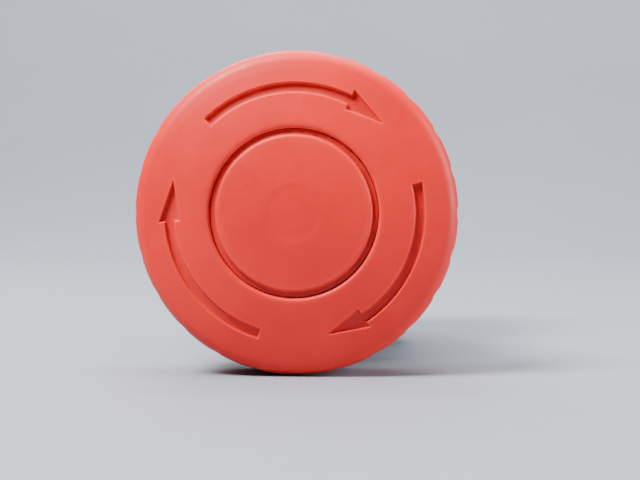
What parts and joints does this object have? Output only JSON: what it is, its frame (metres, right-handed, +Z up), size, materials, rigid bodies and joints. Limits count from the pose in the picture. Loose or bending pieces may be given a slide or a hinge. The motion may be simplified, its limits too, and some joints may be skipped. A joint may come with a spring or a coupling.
{
  "type": "emergency stop button",
  "caption": "Panel-mounted emergency stop button with a red mushroom head that is pushed to latch and turned clockwise to release, with contact blocks behind the panel.",
  "frame": {"origin": "on the button's axis at the front face of the panel it is fitted to, which is the back face of its gasket", "axes": "+Y along the button's axis into the panel, so the head faces -Y; +Z up, through the locating key; +X to the right seen from the front"},
  "size_m": [0.04, 0.0755, 0.04],
  "materials": {
    "red_plastic": "satin moulded red",
    "black_plastic": "fine moulded texture",
    "grey_plastic": "satin light grey",
    "cover_plastic": "satin dark grey",
    "natural_plastic": "satin natural",
    "red_plunger": "satin",
    "green_plunger": "satin",
    "rubber": "matt black",
    "zinc_steel": "zinc plated",
    "spring_steel": "drawn wire, oiled",
    "copper_strip": "stamped brass",
    "silver_tip": "silver alloy"
  },
  "bodies": {
    "housing": {"housing": "black_plastic", "shaft_seal": "rubber", "latch_carrier": "natural_plastic", "latch_spring": "spring_steel", "latch_cover": "zinc_steel", "panel_gasket": "rubber", "lock_nut": "black_plastic", "spring_retainer": "black_plastic", "return_spring": "spring_steel", "contact_carrier": "black_plastic", "carrier_screw": "zinc_steel", "nc_body": "grey_plastic", "nc_cover": "cover_plastic", "nc_plunger_spring": "spring_steel", "nc_terminal_upper": "copper_strip", "nc_terminal_lower": "copper_strip", "nc_fixed_tips": "silver_tip", "nc_terminal_screws": "zinc_steel", "nc_clamp_plates": "zinc_steel", "no_body": "grey_plastic", "no_cover": "cover_plastic", "no_plunger_spring": "spring_steel", "no_terminal_upper": "copper_strip", "no_terminal_lower": "copper_strip", "no_fixed_tips": "silver_tip", "no_terminal_screws": "zinc_steel", "no_clamp_plates": "zinc_steel"},
    "pusher": {"pusher": "natural_plastic", "push_bar": "black_plastic", "torsion_spring": "spring_steel"},
    "knob": {"cap": "red_plastic", "cap_insert": "red_plastic", "cap_screw": "zinc_steel", "spindle": "zinc_steel", "e_clip": "spring_steel"},
    "nc_actuator": {"nc_plunger": "red_plunger", "nc_bridge": "copper_strip", "nc_bridge_tips": "silver_tip", "nc_contact_spring": "spring_steel"},
    "no_actuator": {"no_plunger": "green_plunger", "no_bridge": "copper_strip", "no_bridge_tips": "silver_tip", "no_contact_spring": "spring_steel"}
  },
  "joints": [
    {"name": "push", "type": "slide", "parent": "housing", "child": "pusher", "axis": [0, 1, 0], "range_m": [0, 0.005], "stiffness_N_per_m": 1200, "springref_m": -0.005, "deforming": ["return_spring", "latch_spring"]},
    {"name": "release_turn", "type": "hinge", "parent": "pusher", "child": "knob", "pos_m": [0, 0, 0], "axis": [0, 1, 0], "range_deg": [0, 40], "stiffness_Nm_per_rad": 0.06, "deforming": ["torsion_spring"]},
    {"name": "nc_travel", "type": "slide", "parent": "housing", "child": "nc_actuator", "axis": [0, 1, 0], "range_m": [0, 0.005], "stiffness_N_per_m": 150, "springref_m": -0.004, "deforming": ["nc_plunger_spring"]},
    {"name": "no_travel", "type": "slide", "parent": "housing", "child": "no_actuator", "axis": [0, 1, 0], "range_m": [0, 0.005], "stiffness_N_per_m": 150, "springref_m": -0.004, "deforming": ["no_plunger_spring"]}
  ],
  "couplings": [
    {"joint": "nc_travel", "follows": "push", "ratio": 1},
    {"joint": "no_travel", "follows": "push", "ratio": 1}
  ]
}
